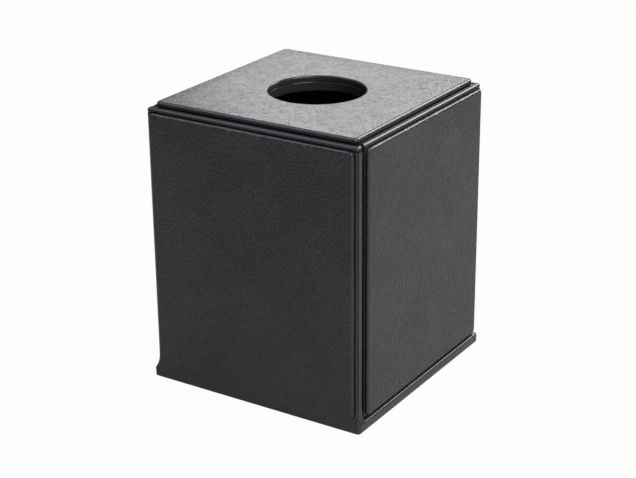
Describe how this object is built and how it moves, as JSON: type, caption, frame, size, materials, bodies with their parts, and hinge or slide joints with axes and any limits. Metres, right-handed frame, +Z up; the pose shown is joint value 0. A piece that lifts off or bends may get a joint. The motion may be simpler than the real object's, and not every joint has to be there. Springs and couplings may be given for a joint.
{
  "type": "tissue box cover",
  "caption": "Square leather-wrapped cover for a cube box of tissues, with raised face panels, a round hole in the top, a low base rim and an open underside.",
  "frame": {"origin": "middle of the underside, on the surface that the cover stands on", "axes": "+Z up, -Y towards the front wall, +X towards the right wall"},
  "size_m": [0.136, 0.136, 0.1623],
  "materials": {
    "wall_leather": "fine grained black leather, satin",
    "panel_leather": "pebble grained black leather, satin",
    "board": "bare fibreboard",
    "lining": "black suede lining"
  },
  "bodies": {
    "root": {"front_board": "board", "right_board": "board", "back_board": "board", "left_board": "board", "top_board": "board", "front_wrap": "wall_leather", "right_wrap": "wall_leather", "back_wrap": "wall_leather", "left_wrap": "wall_leather", "top_wrap": "wall_leather", "front_panel_board": "board", "right_panel_board": "board", "back_panel_board": "board", "left_panel_board": "board", "top_panel_board": "board", "front_panel_skin": "panel_leather", "right_panel_skin": "panel_leather", "back_panel_skin": "panel_leather", "left_panel_skin": "panel_leather", "top_panel_skin": "panel_leather", "base_board": "board", "base_wrap": "wall_leather", "front_lining": "lining", "right_lining": "lining", "back_lining": "lining", "left_lining": "lining", "top_lining": "lining"}
  },
  "joints": []
}
